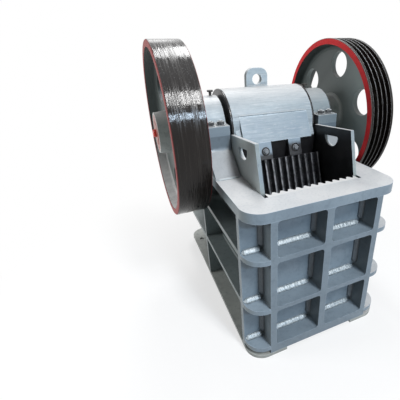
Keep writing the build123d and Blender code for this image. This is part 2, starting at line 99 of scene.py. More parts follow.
class Shader:
    """One material's node tree, with short calls to add nodes to it."""

    def __init__(self, name):
        self.material = bpy.data.materials.new(name)
        self.material.use_nodes = True
        self.tree = self.material.node_tree
        self.surface = self.tree.nodes["Principled BSDF"]
        place = self.add("ShaderNodeTexCoord")
        self.place = place.outputs["Object"]
        self.normal = place.outputs["Normal"]

    def add(self, kind, inputs=(), **settings):
        """A new node; inputs maps socket names or numbers to values or to other sockets."""
        node = self.tree.nodes.new(kind)
        for key, value in settings.items():
            setattr(node, key, value)
        for key, value in dict(inputs).items():
            if isinstance(value, bpy.types.NodeSocket):
                self.tree.links.new(value, node.inputs[key])
            else:
                node.inputs[key].default_value = value
        return node

    def math(self, operation, first, second=0.0):
        """The result of a math node on two values or sockets."""
        node = self.add("ShaderNodeMath", {0: first, 1: second}, operation=operation)
        return node.outputs[0]

    def times(self, first, second):
        """The product of two values or sockets."""
        return self.math("MULTIPLY", first, second)

    def stretched(self, x, y, z):
        """The object's own coordinates, scaled along each axis."""
        inputs = {0: self.place, 1: (x, y, z)}
        return self.add("ShaderNodeVectorMath", inputs, operation="MULTIPLY").outputs[0]

    def noise(self, scale, detail=4.0, roughness=0.55, place=None):
        """A noise value between 0 and 1."""
        inputs = {"Vector": place or self.place, "Scale": scale}
        inputs.update({"Detail": detail, "Roughness": roughness})
        return self.add("ShaderNodeTexNoise", inputs).outputs["Fac"]

    def ramp(self, value, low, high, start=0.0, end=1.0):
        """The value mapped from low..high to start..end, and held beyond."""
        inputs = {"Value": value, "From Min": low, "From Max": high}
        inputs.update({"To Min": start, "To Max": end})
        return self.add("ShaderNodeMapRange", inputs).outputs["Result"]

    def mix(self, factor, first, second):
        """Two colours mixed by a factor."""
        node = self.add("ShaderNodeMix", data_type="RGBA")
        for socket, value in (("Factor_Float", factor), ("A_Color", first), ("B_Color", second)):
            target = next(s for s in node.inputs if s.identifier == socket)
            if isinstance(value, bpy.types.NodeSocket):
                self.tree.links.new(value, target)
            else:
                target.default_value = value if socket == "Factor_Float" else (*value, 1.0)
        return next(s for s in node.outputs if s.identifier == "Result_Color")

    def part(self, vector, axis):
        """One component of a vector."""
        return self.add("ShaderNodeSeparateXYZ", {0: vector}).outputs[axis]

    def along(self, axis):
        """Where a point is along X, Y or Z, numbered 0 to 2."""
        return self.part(self.place, axis)

    def facing(self, axis):
        """How far the surface looks along X, Y or Z, from -1 to 1."""
        return self.part(self.normal, axis)

    def dot(self, first, second):
        """The dot product of two vectors."""
        node = self.add("ShaderNodeVectorMath", {0: first, 1: second}, operation="DOT_PRODUCT")
        return node.outputs["Value"]

    def edge(self, radius):
        """Near 1 on sharp edges and 0 on flat faces."""
        rounded = self.add("ShaderNodeBevel", {"Radius": radius}, samples=4).outputs[0]
        flat = self.add("ShaderNodeNewGeometry").outputs["Normal"]
        return self.ramp(self.dot(rounded, flat), 0.995, 0.80)

    def crevice(self, distance):
        """Near 1 in inner corners and 0 in the open."""
        shade = self.add("ShaderNodeAmbientOcclusion", {"Distance": distance}, samples=4)
        return self.ramp(shade.outputs["AO"], 0.85, 0.35)

    def bump(self, height, strength, distance, before=None):
        """A bump on the surface, on top of another one."""
        inputs = {"Height": height, "Strength": strength, "Distance": distance}
        if before:
            inputs["Normal"] = before
        return self.add("ShaderNodeBump", inputs).outputs["Normal"]

    def finish(self, colour=None, roughness=None, normal=None, **fixed):
        """Sets the surface: sockets are linked, plain values are set on the shader itself."""
        for name, value in (("Base Color", colour), ("Roughness", roughness), ("Normal", normal)):
            if isinstance(value, bpy.types.NodeSocket):
                self.tree.links.new(value, self.surface.inputs[name])
            elif value is not None:
                self.surface.inputs[name].default_value = value
        for name, value in fixed.items():
            self.surface.inputs[name.replace("_", " ")].default_value = value
        return self.material


# Colours, as linear values
WEB_GREY = (0.062, 0.078, 0.076)
FLOOR_BOUNCE = (0.35, 0.35, 0.35)
PAINT = (0.192, 0.248, 0.298)
PAINT_LIGHT = (0.245, 0.310, 0.365)
PAINT_DARK = (0.120, 0.162, 0.200)
GRID_PAINTS = ((0.160, 0.208, 0.250), (0.206, 0.262, 0.310), (0.104, 0.140, 0.172))
# Painted shade: the dark tone on the rib grid's faces that look along X
GRID_SIDE_SHADE = (0.062, 0.068, 0.062)
OLIVE = (0.130, 0.157, 0.156)
# Painted shade for the right-hand bearing cap
RIGHT_CAP_SHADE = (0.125, 0.150, 0.150)
# The side walls' paint: a darker, greener copy of the frame paint, darkened as painted shade
SIDE = (0.142, 0.176, 0.180)
SIDE_LIGHT = (0.190, 0.225, 0.228)
SIDE_DARK = (0.086, 0.108, 0.110)
FOOT = (0.330, 0.345, 0.325)
FILLET_PAINTS = ((0.150, 0.170, 0.188), (0.185, 0.205, 0.220))
CAST = (0.318, 0.380, 0.418)
CAST_LIGHT = (0.375, 0.440, 0.478)
DUST = (0.632, 0.627, 0.620)
# Brown-black for dirt and specks, also used as painted shade in inner corners
DIRT_AND_SHADE = (0.075, 0.064, 0.050)
BLACK = (0.006, 0.006, 0.007)
CHIPPED_IRON = (0.016, 0.016, 0.018)
DUSTY_IRON = (0.66, 0.69, 0.70)
# Painted shade on the upper inner side of the pulley's web
RIM_SHADE = (0.020, 0.026, 0.026)
WORN_STEEL = (0.46, 0.47, 0.49)
CREST_STEEL = (0.52, 0.53, 0.55)
# Pale worn steel, used as a painted highlight on the pulley's groove edges
EDGE_HIGHLIGHT = (0.86, 0.87, 0.90)
SMEAR = (0.72, 0.73, 0.73)
RED = (0.62, 0.013, 0.018)
BRICK_RED = (0.24, 0.020, 0.016)
DARK_RED = (0.15, 0.010, 0.010)
ORANGE_RED = (0.62, 0.035, 0.018)
FACE_RED = (0.27, 0.085, 0.065)


def scaled(colour, factor):
    """A colour made lighter or darker, within 1."""
    return tuple(min(1.0, factor * value) for value in colour)


def paint_layers(shader, base, light, dark, side=OLIVE):
    """Colour, roughness and bump of thick paint: dust on top, dirt in corners, painted light on the front corner
    flanges right of the rib grid, and painted shade in inner corners.
    """
    broad = shader.noise(5.0, 3.0)
    mottled = shader.noise(42.0, 5.0, 0.65)
    dabbed = shader.noise(110.0, 3.0, 0.6)
    colour = shader.mix(shader.ramp(broad, 0.35, 0.68), base, light)
    colour = shader.mix(shader.ramp(mottled, 0.50, 0.74, 0.0, 0.55), colour, dark)
    colour = shader.mix(shader.ramp(dabbed, 0.55, 0.75, 0.0, 0.30), colour, dark)
    # Faces that look along X take the side tone, which on the rib grid is painted shade.
    sideways = shader.math("ABSOLUTE", shader.facing(0))
    colour = shader.mix(shader.ramp(sideways, 0.6, 0.95, 0.0, 0.65), colour, side)
    up = shader.facing(2)
    patchy = shader.ramp(broad, 0.2, 0.7, 0.62, 0.95)
    dust_and_light = shader.times(shader.ramp(up, 0.55, 0.97), patchy)
    high = shader.ramp(shader.along(2), DECK_LOW.z, DECK_HIGH.z - 0.002, 0.05, 1.0)
    # Painted light: up-facing faces right of and in front of the rib grid, on the front corner flanges, take the
    # pale dust colour as if lit up.
    right = shader.ramp(shader.along(0), GRID_HIGH.x, GRID_HIGH.x + 0.004, 0.0, 1.0)
    forward = shader.ramp(shader.along(1), GRID_HIGH.y + 0.004, GRID_HIGH.y)
    corner = shader.times(right, forward)
    dust_and_light = shader.times(dust_and_light, shader.math("MAXIMUM", high, corner))
    thin = shader.times(dust_and_light, shader.ramp(dabbed, 0.50, 0.80, 1.0, 0.72))
    colour = shader.mix(thin, colour, DUST)
    # Dirt and painted shade: brown-black where ambient occlusion finds inner corners.
    streaks = shader.noise(1.0, 4.0, 0.6, shader.stretched(55.0, 55.0, 4.0))
    grime_and_shade = shader.times(shader.crevice(0.035), shader.ramp(streaks, 0.25, 0.75, 0.15, 0.60))
    colour = shader.mix(grime_and_shade, colour, DIRT_AND_SHADE)
    specks = shader.ramp(shader.noise(260.0, 1.0), 0.76, 0.80, 0.0, 0.7)
    colour = shader.mix(specks, colour, DIRT_AND_SHADE)
    worn = shader.times(shader.edge(0.0032), shader.ramp(mottled, 0.30, 0.56, 0.20, 0.85))
    colour = shader.mix(worn, colour, scaled(light, 1.7))
    roughness = shader.ramp(shader.noise(24.0, 4.0), 0.25, 0.75, 0.28, 0.50)
    peel = shader.noise(420.0, 2.0)
    waves = shader.noise(16.0, 2.0)
    normal = shader.bump(waves, 0.35, 0.004)
    normal = shader.bump(peel, 0.18, 0.0006, normal)
    return colour, roughness, normal


def frame_paint(name="frame_paint", base=PAINT, light=PAINT_LIGHT, dark=PAINT_DARK, side=OLIVE):
    """Blue-grey semi-gloss machine paint."""
    shader = Shader(name)
    colour, roughness, normal = paint_layers(shader, base, light, dark, side)
    return shader.finish(colour, roughness, normal)


def pedestal_paint():
    """The same paint, darker, on the two bearing pedestals."""
    shader = Shader("pedestal_paint")
    tones = [scaled(tone, 0.62) for tone in (PAINT, PAINT_LIGHT, PAINT_DARK)]
    colour, roughness, normal = paint_layers(shader, *tones)
    return shader.finish(colour, roughness, normal)


def distance_from_shaft(shader):
    """How far a point is from the shaft's centre line."""
    y = shader.math("SUBTRACT", shader.along(1), SHAFT.y)
    z = shader.math("SUBTRACT", shader.along(2), SHAFT.z)
    squares = shader.math("ADD", shader.times(y, y), shader.times(z, z))
    return shader.math("SQRT", squares)


def foot_paint():
    """Olive-grey paint, scuffed, on the two feet."""
    shader = Shader("foot_paint")
    colour, roughness, normal = paint_layers(shader, FOOT, scaled(FOOT, 1.4), OLIVE)
    return shader.finish(colour, roughness, normal)


def cast_paint(name, pale=1.0, tone=CAST):
    """Lighter, brushed paint over a rough casting."""
    shader = Shader(name)
    base, light, dark = (scaled(each, pale) for each in (tone, CAST_LIGHT, PAINT_LIGHT))
    colour, roughness, normal = paint_layers(shader, base, light, dark)
    cast = shader.noise(95.0, 5.0, 0.7)
    brushed = shader.noise(1.0, 4.0, 0.7, shader.stretched(7.0, 190.0, 190.0))
    streaked = shader.ramp(brushed, 0.48, 0.70, 0.0, 0.55)
    colour = shader.mix(streaked, colour, scaled(base, 0.66))
    smeared = shader.noise(1.0, 3.0, 0.6, shader.stretched(22.0, 130.0, 130.0))
    colour = shader.mix(shader.ramp(smeared, 0.56, 0.72, 0.0, 0.28), colour, SMEAR)
    normal = shader.bump(cast, 0.45, 0.0018, normal)
    normal = shader.bump(brushed, 0.35, 0.0012, normal)
    return shader, colour, roughness, normal


def barrel_paint(name="barrel_paint", pale=1.0, tone=CAST):
    """Cast paint all over."""
    shader, colour, roughness, normal = cast_paint(name, pale, tone)
    return shader.finish(colour, roughness, normal)


def pitman_paint():
    """Cast paint, with painted shade, black, on the front below the apron, behind the jaw."""
    shader, colour, roughness, normal = cast_paint("pitman_paint")
    # Painted shade: black on the front below the apron.
    low = shader.ramp(shader.along(2), APRON_LOW.z + 0.006, APRON_LOW.z)
    front = shader.ramp(shader.along(1), -0.06, -0.08)
    colour = shader.mix(shader.times(low, front), colour, BLACK)
    return shader.finish(colour, roughness, normal)


def cap_paint():
    """Cast paint on the round of a bearing cap, and the frame's own paint on its flange; the right-hand cap is
    darkened as painted shade.
    """
    shader, colour, roughness, normal = cast_paint("cap_paint")
    low = shader.ramp(shader.along(2), FLANGE_TOP - 0.002, FLANGE_TOP - 0.004)
    colour = shader.mix(shader.times(low, 0.8), colour, PAINT)
    # Painted shade: the right-hand cap is darker.
    right_shade = shader.ramp(shader.along(0), -0.01, 0.01, 0.0, 0.42)
    colour = shader.mix(right_shade, colour, RIGHT_CAP_SHADE)
    return shader.finish(colour, roughness, normal)


def hub_paint(node):
    """Grey-green paint, with brownish red primer on the hub's outer end face."""
    shader = Shader(node + "_paint")
    low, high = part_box(node)
    base, light, dark = (0.39, 0.43, 0.41), (0.52, 0.56, 0.55), (0.15, 0.18, 0.17)
    colour, roughness, normal = paint_layers(shader, base, light, dark, base)
    reach = shader.math("ABSOLUTE", shader.along(0))
    end = max(abs(low.x), abs(high.x))
    at_end = shader.ramp(reach, end - 0.002, end - 0.001)
    radius = distance_from_shaft(shader)
    within = shader.ramp(radius, HUB_FACE_RADIUS + 0.001, HUB_FACE_RADIUS - 0.001)
    face = shader.times(at_end, within)
    colour = shader.mix(face, colour, FACE_RED)
    return shader.finish(colour, roughness, normal)


def clamp_iron():
    """Black iron wedges, with the barrel's paint over their upper ends."""
    shader = Shader("clamp_iron")
    base = scaled(PAINT, 1.45)
    colour, roughness, normal = paint_layers(shader, base, PAINT_LIGHT, PAINT_DARK)
    ragged = shader.times(shader.noise(60.0, 3.0), 0.012)
    height = shader.math("ADD", shader.along(2), ragged)
    on_left = shader.ramp(shader.along(0), 0.01, -0.01, 0.0, 0.030)
    height = shader.math("ADD", height, on_left)
    bare = shader.ramp(height, CLAMP_HIGH.z - 0.004, CLAMP_HIGH.z - 0.020)
    colour = shader.mix(bare, colour, CHIPPED_IRON)
    return shader.finish(colour, roughness, normal)


def cheek_paint(inward):
    """Black on the face towards the chamber, grey paint elsewhere."""
    shader = Shader("cheek_paint_left" if inward > 0 else "cheek_paint_right")
    base, side = (0.30, 0.34, 0.33), (0.47, 0.52, 0.50)
    colour, roughness, normal = paint_layers(shader, base, PAINT_LIGHT, PAINT_DARK, side)
    facing = shader.times(shader.facing(0), float(inward))
    colour = shader.mix(shader.ramp(facing, 0.5, 0.9), colour, BLACK)
    return shader.finish(colour, roughness, normal)


def jaw_iron(name, crest, lean, phase, painted_top):
    """Black cast manganese steel, worn bright along the middle of the crests, with that brightness dimmed towards
    +X as painted shade.

    The crests lie in a plane through a point, with a lean as its normal, and the phase is the
    share of a tooth's pitch by which they are set off.
    """
    shader = Shader(name)
    mottled = shader.noise(60.0, 5.0, 0.6)
    colour = shader.mix(shader.ramp(mottled, 0.4, 0.8), BLACK, (0.022, 0.022, 0.025))
    below = shader.math("SUBTRACT", lean.dot(crest), shader.dot(shader.place, tuple(lean)))
    drawn = shader.noise(1.0, 4.0, 0.6, shader.stretched(150.0, 150.0, 10.0))
    x = shader.along(0)
    teeth = shader.math("ADD", shader.math("DIVIDE", x, TOOTH_PITCH), phase)
    across = shader.math("ABSOLUTE", shader.math("SUBTRACT", shader.math("FRACT", teeth), 0.5))
    line = shader.ramp(across, 0.110, 0.070, 0.12, 1.0)
    crest_band = shader.times(shader.ramp(below, 0.0010, 0.0004), line)
    rubbed_and_shaded = shader.times(crest_band, shader.ramp(drawn, 0.36, 0.58, 0.08, 0.75))
    # Painted shade: the rubbed crests grow darker towards +X.
    rubbed_and_shaded = shader.times(rubbed_and_shaded, shader.ramp(x, -0.06, 0.12, 1.0, 0.35))
    edges = shader.times(shader.edge(0.0008), shader.ramp(drawn, 0.30, 0.50, 0.10, 0.50))
    colour = shader.mix(shader.math("MAXIMUM", rubbed_and_shaded, edges), colour, CREST_STEEL)
    if painted_top:
        top = shader.ramp(shader.facing(2), 0.7, 0.9)
        colour = shader.mix(top, colour, DUST)
    roughness = shader.ramp(mottled, 0.3, 0.7, 0.30, 0.50)
    normal = shader.bump(shader.noise(150.0, 4.0, 0.7), 0.4, 0.0012)
    return shader.finish(colour, roughness, normal, Specular_IOR_Level=0.12)


def rim_iron(node, face_colour, edge_highlight_share):
    """A black glossy rim, turned in fine rings, with red side faces, a grey inside, and on a share of its edges
    worn steel lit up as a painted highlight that is brightest at the top.
    """
    shader = Shader(node + "_iron")
    low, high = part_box(node)
    inner_radius = high.z - SHAFT.z - RIM_THICKNESS
    x = shader.along(0)
    radius = distance_from_shaft(shader)
    rings = shader.noise(1.0, 3.0, 0.7, shader.stretched(190.0, 5.0, 5.0))
    patches = shader.noise(9.0, 3.0)
    patchy = shader.ramp(patches, 0.35, 0.7)
    colour = shader.mix(patchy, (0.007, 0.005, 0.004), (0.011, 0.008, 0.007))
    colour = shader.mix(shader.ramp(rings, 0.52, 0.60), colour, (0.018, 0.015, 0.013))
    # Worn edges painted pale as a highlight, stronger towards the top.
    edges = shader.times(shader.edge(0.0018), shader.ramp(patches, 0.3, 0.6, 0.6, 1.0))
    edges = shader.times(edges, shader.ramp(shader.along(2), 0.80, 1.00, 0.35, 1.0))
    colour = shader.mix(shader.times(edges, edge_highlight_share), colour, EDGE_HIGHLIGHT)
    up = shader.ramp(shader.facing(2), 0.2, 0.9)
    specks = shader.ramp(shader.noise(260.0, 1.0), 0.64, 0.74, 0.050, 0.26)
    colour = shader.mix(shader.times(up, specks), colour, DUST)
    inside = shader.ramp(radius, inner_radius + 0.003, inner_radius)
    colour = shader.mix(inside, colour, WEB_GREY)
    settled = shader.times(up, shader.ramp(shader.noise(22.0, 4.0), 0.3, 0.6, 0.65, 1.0))
    pale = scaled(DUST, 1.25)
    colour = shader.mix(shader.times(inside, settled), colour, pale)
    to_side = shader.math("ABSOLUTE", shader.math("SUBTRACT", x, (low.x + high.x) / 2))
    half = (high.x - low.x) / 2
    ragged = shader.times(shader.noise(30.0, 3.0), 0.0016)
    near_edge = shader.ramp(shader.math("ADD", to_side, ragged), half - 0.0016, half - 0.0010)
    on_rim = shader.ramp(radius, inner_radius - 0.003, inner_radius)
    red = shader.times(near_edge, on_rim)
    flat = shader.ramp(shader.math("ABSOLUTE", shader.facing(0)), 0.75, 0.92)
    scuffs = shader.ramp(shader.noise(70.0, 4.0), 0.55, 0.8, 0.0, 0.5)
    scuffed = shader.mix(flat, DARK_RED, shader.mix(scuffs, face_colour, DARK_RED))
    colour = shader.mix(red, colour, scuffed)
    roughness = shader.ramp(rings, 0.44, 0.60, 0.05, 0.30)
    roughness = shader.ramp(shader.math("MAXIMUM", inside, red), 0.0, 1.0, roughness, 0.5)
    streaked = shader.noise(1.0, 3.0, 0.6, shader.stretched(190.0, 24.0, 24.0))
    speckled = shader.noise(260.0, 2.0)
    normal = shader.bump(rings, 0.25, 0.0005)
    normal = shader.bump(streaked, 0.55, 0.0012, normal)
    normal = shader.bump(speckled, 0.20, 0.0003, normal)
    return shader.finish(colour, roughness, normal, Specular_IOR_Level=0.28)


def web_iron(name, dark, light, rim_shaded=False):
    """Dark grey-green paint on a rough cast web, with painted shade from the rim on its upper inner side if asked.
    """
    shader = Shader(name)
    patches = shader.noise(8.0, 4.0)
    colour = shader.mix(shader.ramp(patches, 0.3, 0.7), dark, light)
    if rim_shaded:
        # Painted shade, as cast by the rim: darker towards the top and towards +Y on the inner face.
        inward = shader.ramp(shader.facing(0), -0.5, -0.9)
        rise = shader.math("ADD", shader.along(1), shader.along(2))
        level = SHAFT.y + SHAFT.z
        shade_from_rim = shader.ramp(rise, level - 0.10, level + 0.26, 0.0, 0.80)
        colour = shader.mix(shader.times(inward, shade_from_rim), colour, RIM_SHADE)
    up = shader.ramp(shader.facing(2), 0.2, 0.9, 0.0, 0.6)
    colour = shader.mix(up, colour, DUST)
    # Dirt and painted shade in the web's inner corners.
    dirt_and_shade = shader.times(shader.crevice(0.03), 0.6)
    colour = shader.mix(dirt_and_shade, colour, DIRT_AND_SHADE)
    roughness = shader.ramp(patches, 0.3, 0.7, 0.42, 0.62)
    normal = shader.bump(shader.noise(120.0, 5.0, 0.7), 0.4, 0.0014)
    return shader.finish(colour, roughness, normal)


def bare_steel():
    """Turned steel with fine lines and a thin film of oil."""
    shader = Shader("bare_steel")
    lines = shader.noise(1.0, 4.0, 0.7, shader.stretched(700.0, 60.0, 60.0))
    stains = shader.noise(18.0, 4.0)
    colour = shader.mix(shader.ramp(stains, 0.45, 0.75), (0.36, 0.35, 0.34), (0.20, 0.17, 0.14))
    roughness = shader.ramp(lines, 0.3, 0.7, 0.26, 0.42)
    normal = shader.bump(lines, 0.2, 0.0004)
    return shader.finish(colour, roughness, normal, Metallic=1.0)


def shaft_steel():
    """Bare steel with red-orange primer on the shaft's two ends."""
    shader = Shader("shaft_steel")
    stains = shader.noise(40.0, 4.0)
    x = shader.along(0)
    centre = (SHAFT_LOW.x + SHAFT_HIGH.x) / 2
    half = (SHAFT_HIGH.x - SHAFT_LOW.x) / 2
    to_end = shader.math("ABSOLUTE", shader.math("SUBTRACT", x, centre))
    primer = shader.ramp(to_end, half - 0.0165, half - 0.0155)
    steel = shader.mix(shader.ramp(stains, 0.4, 0.7), (0.34, 0.33, 0.32), (0.22, 0.19, 0.16))
    radius = distance_from_shaft(shader)
    nose = shader.ramp(radius, NOSE_RADIUS + 0.0005, NOSE_RADIUS - 0.0005)
    colour = shader.mix(primer, steel, shader.mix(nose, FACE_RED, ORANGE_RED))
    roughness = shader.ramp(stains, 0.3, 0.7, 0.32, 0.5)
    metal = shader.math("SUBTRACT", 1.0, primer)
    shader.tree.links.new(metal, shader.surface.inputs["Metallic"])
    normal = shader.bump(stains, 0.2, 0.0008)
    return shader.finish(colour, roughness, normal)


def dark_coat(name, colour_a, colour_b, rough_low, rough_high, wear=0.35):
    """Plain dark paint or rubber with light wear on its edges."""
    shader = Shader(name)
    mottled = shader.noise(50.0, 4.0)
    colour = shader.mix(shader.ramp(mottled, 0.35, 0.7), colour_a, colour_b)
    worn = shader.times(shader.edge(0.002), wear)
    colour = shader.mix(worn, colour, scaled(colour_b, 3.0))
    roughness = shader.ramp(mottled, 0.3, 0.7, rough_low, rough_high)
    normal = shader.bump(shader.noise(220.0, 3.0), 0.2, 0.0006)
    return shader.finish(colour, roughness, normal)


def weld_metal():
    """Bright painted weld bead."""
    shader = Shader("weld_metal")
    mottled = shader.noise(140.0, 4.0)
    colour = shader.mix(shader.ramp(mottled, 0.35, 0.7), (0.20, 0.245, 0.27), (0.52, 0.57, 0.59))
    roughness = shader.ramp(mottled, 0.3, 0.7, 0.25, 0.45)
    normal = shader.bump(mottled, 0.3, 0.0006)
    return shader.finish(colour, roughness, normal, Metallic=0.1)


def bolt_metal():
    """Zinc-plated bolt steel, a little tarnished."""
    shader = Shader("bolt_metal")
    stains = shader.noise(160.0, 4.0)
    colour = shader.mix(shader.ramp(stains, 0.4, 0.75), (0.20, 0.215, 0.23), (0.10, 0.105, 0.11))
    colour = shader.mix(shader.times(shader.edge(0.0012), 0.7), colour, WORN_STEEL)
    roughness = shader.ramp(stains, 0.3, 0.7, 0.28, 0.45)
    normal = shader.bump(stains, 0.15, 0.0004)
    return shader.finish(colour, roughness, normal, Metallic=0.3)


def nut_iron():
    """Dark nuts and washers, pale with dust and worn paint on top."""
    shader = Shader("nut_iron")
    mottled = shader.noise(120.0, 4.0)
    patchy = shader.ramp(mottled, 0.35, 0.7)
    colour = shader.mix(patchy, (0.045, 0.047, 0.050), (0.120, 0.125, 0.130))
    up = shader.ramp(shader.facing(2), 0.6, 0.95)
    colour = shader.mix(shader.times(up, 0.95), colour, DUSTY_IRON)
    roughness = shader.ramp(mottled, 0.3, 0.7, 0.32, 0.5)
    normal = shader.bump(mottled, 0.2, 0.0005)
    return shader.finish(colour, roughness, normal)


def pale_floor():
    """A plain pale floor, which fades into the white backdrop away from the machine."""
    shader = Shader("pale_floor")
    path = shader.add("ShaderNodeLightPath")
    direct = shader.math("MAXIMUM", path.outputs["Is Camera Ray"], path.outputs["Is Glossy Ray"])
    direct = shader.math("MAXIMUM", direct, path.outputs["Is Transmission Ray"])
    grain = shader.noise(30.0, 3.0)
    pale = shader.mix(grain, (0.88, 0.88, 0.88), (0.92, 0.92, 0.92))
    shader.finish(shader.mix(direct, FLOOR_BOUNCE, pale), 0.8)
    inputs = {"Color": (1.0, 1.0, 1.0, 1.0), "Strength": 1.0}
    white = shader.add("ShaderNodeEmission", inputs).outputs[0]
    away = shader.add("ShaderNodeVectorMath", {0: shader.place}, operation="LENGTH")
    blend = shader.times(direct, shader.ramp(away.outputs["Value"], 0.5, 1.5, 0.60, 1.0))
    mixed = shader.add("ShaderNodeMixShader", {0: blend, 1: shader.surface.outputs[0], 2: white})
    output = shader.tree.nodes["Material Output"]
    shader.tree.links.new(mixed.outputs[0], output.inputs["Surface"])
    return shader.material


MATERIALS = {
    "frame": frame_paint(),
    "grid": frame_paint("rib_grid_paint", *GRID_PAINTS, GRID_SIDE_SHADE),
    # Side walls and side ribs: frame paint darkened as painted shade
    "side": frame_paint("shaded_side_paint", SIDE, SIDE_LIGHT, SIDE_DARK),
    "barrel": barrel_paint(),
    "pitman": pitman_paint(),
    "cap": cap_paint(),
    "lug": barrel_paint("lug_paint", 1.30),
    "apron": barrel_paint("apron_paint", 1.0, scaled(PAINT, 1.28)),
    "pedestal": pedestal_paint(),
    "clamp": clamp_iron(),
    "nut": nut_iron(),
    "left_cheek": cheek_paint(1),
    "right_cheek": cheek_paint(-1),
    "moving_jaw": jaw_iron("moving_jaw_iron", JAW_TOP, JAW_LEAN, 0.0, False),
    "jaw": jaw_iron("fixed_jaw_iron", FIXED_CREST, Vector((0.0, 1.0, 0.0)), 0.5, True),
    "feet": foot_paint(),
    "flywheel_web": web_iron("flywheel_web_iron", (0.042, 0.056, 0.054), (0.070, 0.086, 0.082)),
    # The pulley's web is a lighter copy of the web paint, painted light to make up for the machine's shade.
    "pulley_web": web_iron("pulley_web_iron", (0.270, 0.325, 0.320), (0.340, 0.395, 0.385), True),
    "steel": bare_steel(),
    "shaft": shaft_steel(),
    "black": dark_coat("seal_black", BLACK, (0.020, 0.020, 0.022), 0.14, 0.26),
    "cover": dark_coat("cover_grey", (0.050, 0.058, 0.060), (0.080, 0.090, 0.092), 0.35, 0.5),
    "spring": dark_coat("spring_black", BLACK, (0.026, 0.026, 0.028), 0.3, 0.45),
    "grease": dark_coat("grease_metal", (0.035, 0.033, 0.030), (0.070, 0.066, 0.060), 0.3, 0.45),
    "weld": weld_metal(),
    "fillet": dark_coat("painted_fillet", *FILLET_PAINTS, 0.6, 0.75, 0.0),
    "bolt": bolt_metal(),
}


def dress(node, material):
    """Gives a CAD node its material."""
    mesh = nodes[node].data
    mesh.materials.clear()
    mesh.materials.append(material)


SLOT_MATERIALS = {
    "frame_paint": "frame",
    "jaw_iron": "jaw",
    "wheel_iron": "flywheel_web",
    "bare_steel": "steel",
    "spring_steel": "spring",
    "seal_black": "black",
    "cover_grey": "cover",
    "grease_metal": "grease",
}
for row in frame["record"]["subparts"]:
    dress(row["node"], MATERIALS[SLOT_MATERIALS[row["material_slot"]]])
NODE_MATERIALS = {
    "apron_plate": "apron",
    "front_rib_grid": "grid",
    "lifting_lug": "lug",
    "pitman": "pitman",
    "moving_jaw_plate": "moving_jaw",
    "pulley_web": "pulley_web",
    "eccentric_shaft": "shaft",
}
PAIR_MATERIALS = {
    "bearing_cap": "cap",
    "side_wall": "side",
    "side_ribs": "side",
    "jaw_clamp": "clamp",
    "base_flange": "feet",
    "bearing_pedestal": "pedestal",
}
for node, material in NODE_MATERIALS.items():
    dress(node, MATERIALS[material])
for side, sign in SIDES:
    for kind, material in PAIR_MATERIALS.items():
        dress(f"{side}_{kind}", MATERIALS[material])
    dress(f"{side}_cheek_plate", MATERIALS[f"{side}_cheek"])
dress("flywheel_rim", rim_iron("flywheel_rim", BRICK_RED, 0.0))
dress("pulley_rim", rim_iron("pulley_rim", RED, 0.9))
for node in ("flywheel_hub", "pulley_hub"):
    dress(node, hub_paint(node))


# Added pieces


X, Y, Z = Vector((1, 0, 0)), Vector((0, 1, 0)), Vector((0, 0, 1))
NUT = 0.0165
CAP_BOLT_Y = 0.150
CAP_BOLT_SPACING = 0.044
COVER_SCREWS = 6
COVER_SCREW = 0.0085
COVER_SCREW_CIRCLE = 0.107
CLAMP_BOLT = 0.0110
CLAMP_WASHER = 0.019
CLAMP_WASHER_THICKNESS = 0.003
CLAMP_BOLT_SHARE = 0.54  # of the way down from the apron to the clamp's foot
FRONT_BEAD = 0.017
SIDE_BEAD = 0.008
PEDESTAL_BEAD = 0.007
LUG_BEAD = 0.008
CREASE_BEAD = 0.004
BEAD_STEP = 0.0022
BEAD_RIPPLE = 0.0055
BEAD_ARC = 5  # points across a bead
BEAD_SINK = 0.001
# How far beads stop short of the ends of their corners
POCKET_INSET = 0.010
CORNER_INSET = 0.014
FLANGE_INSET = 0.004
RIB_INSET = 0.002


def piece(name, body, slot, material, *builders):
    """A named object from mesh-building calls, riding on a body."""
    mesh_code = bmesh.new()
    for build in builders:
        build(mesh_code)
    mesh = bpy.data.meshes.new(name)
    mesh_code.normal_update()
    mesh_code.to_mesh(mesh)
    mesh_code.free()
    mesh.materials.append(MATERIALS[material])
    made = bpy.data.objects.new(name, mesh)
    bpy.context.scene.collection.objects.link(made)
    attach(made, body)
    return made


def basis(place, axis):
    """A matrix whose Z points along the axis, at a place."""
    turn = Vector(axis).to_track_quat("Z", "Y").to_matrix().to_4x4()
    return Matrix.Translation(place) @ turn


def lathe(mesh_code, matrix, profile, count, smooth=True):
    """Turns a profile of (radius, height) about the matrix's Z axis, and closes its ends."""
    rings = []
    for radius, height in profile:
        ring = []
        for index in range(count):
            angle = 2 * math.pi * index / count
            point = Vector((radius * math.cos(angle), radius * math.sin(angle), height))
            ring.append(mesh_code.verts.new(matrix @ point))
        rings.append(ring)
    for lower, upper in zip(rings, rings[1:]):
        for index in range(count):
            after = (index + 1) % count
            face = mesh_code.faces.new((lower[index], lower[after], upper[after], upper[index]))
            face.smooth = smooth
    mesh_code.faces.new(list(reversed(rings[0])))
    mesh_code.faces.new(rings[-1])


def washer(mesh_code, matrix, radius, thickness):
    """A flat washer with softened edges."""
    soft = thickness / 4
    top = thickness - soft
    profile = ((radius - soft, 0.0), (radius, soft), (radius, top), (radius - soft, thickness))
    lathe(mesh_code, matrix, profile, 32)


def hex_nut(mesh_code, matrix, radius, height):
    """A six-sided nut with chamfered corners."""
    soft = height * 0.14
    narrow = radius * 0.90
    profile = ((narrow, 0.0), (radius, soft), (radius, height - soft), (narrow, height))
    lathe(mesh_code, matrix, profile, 6, smooth=False)


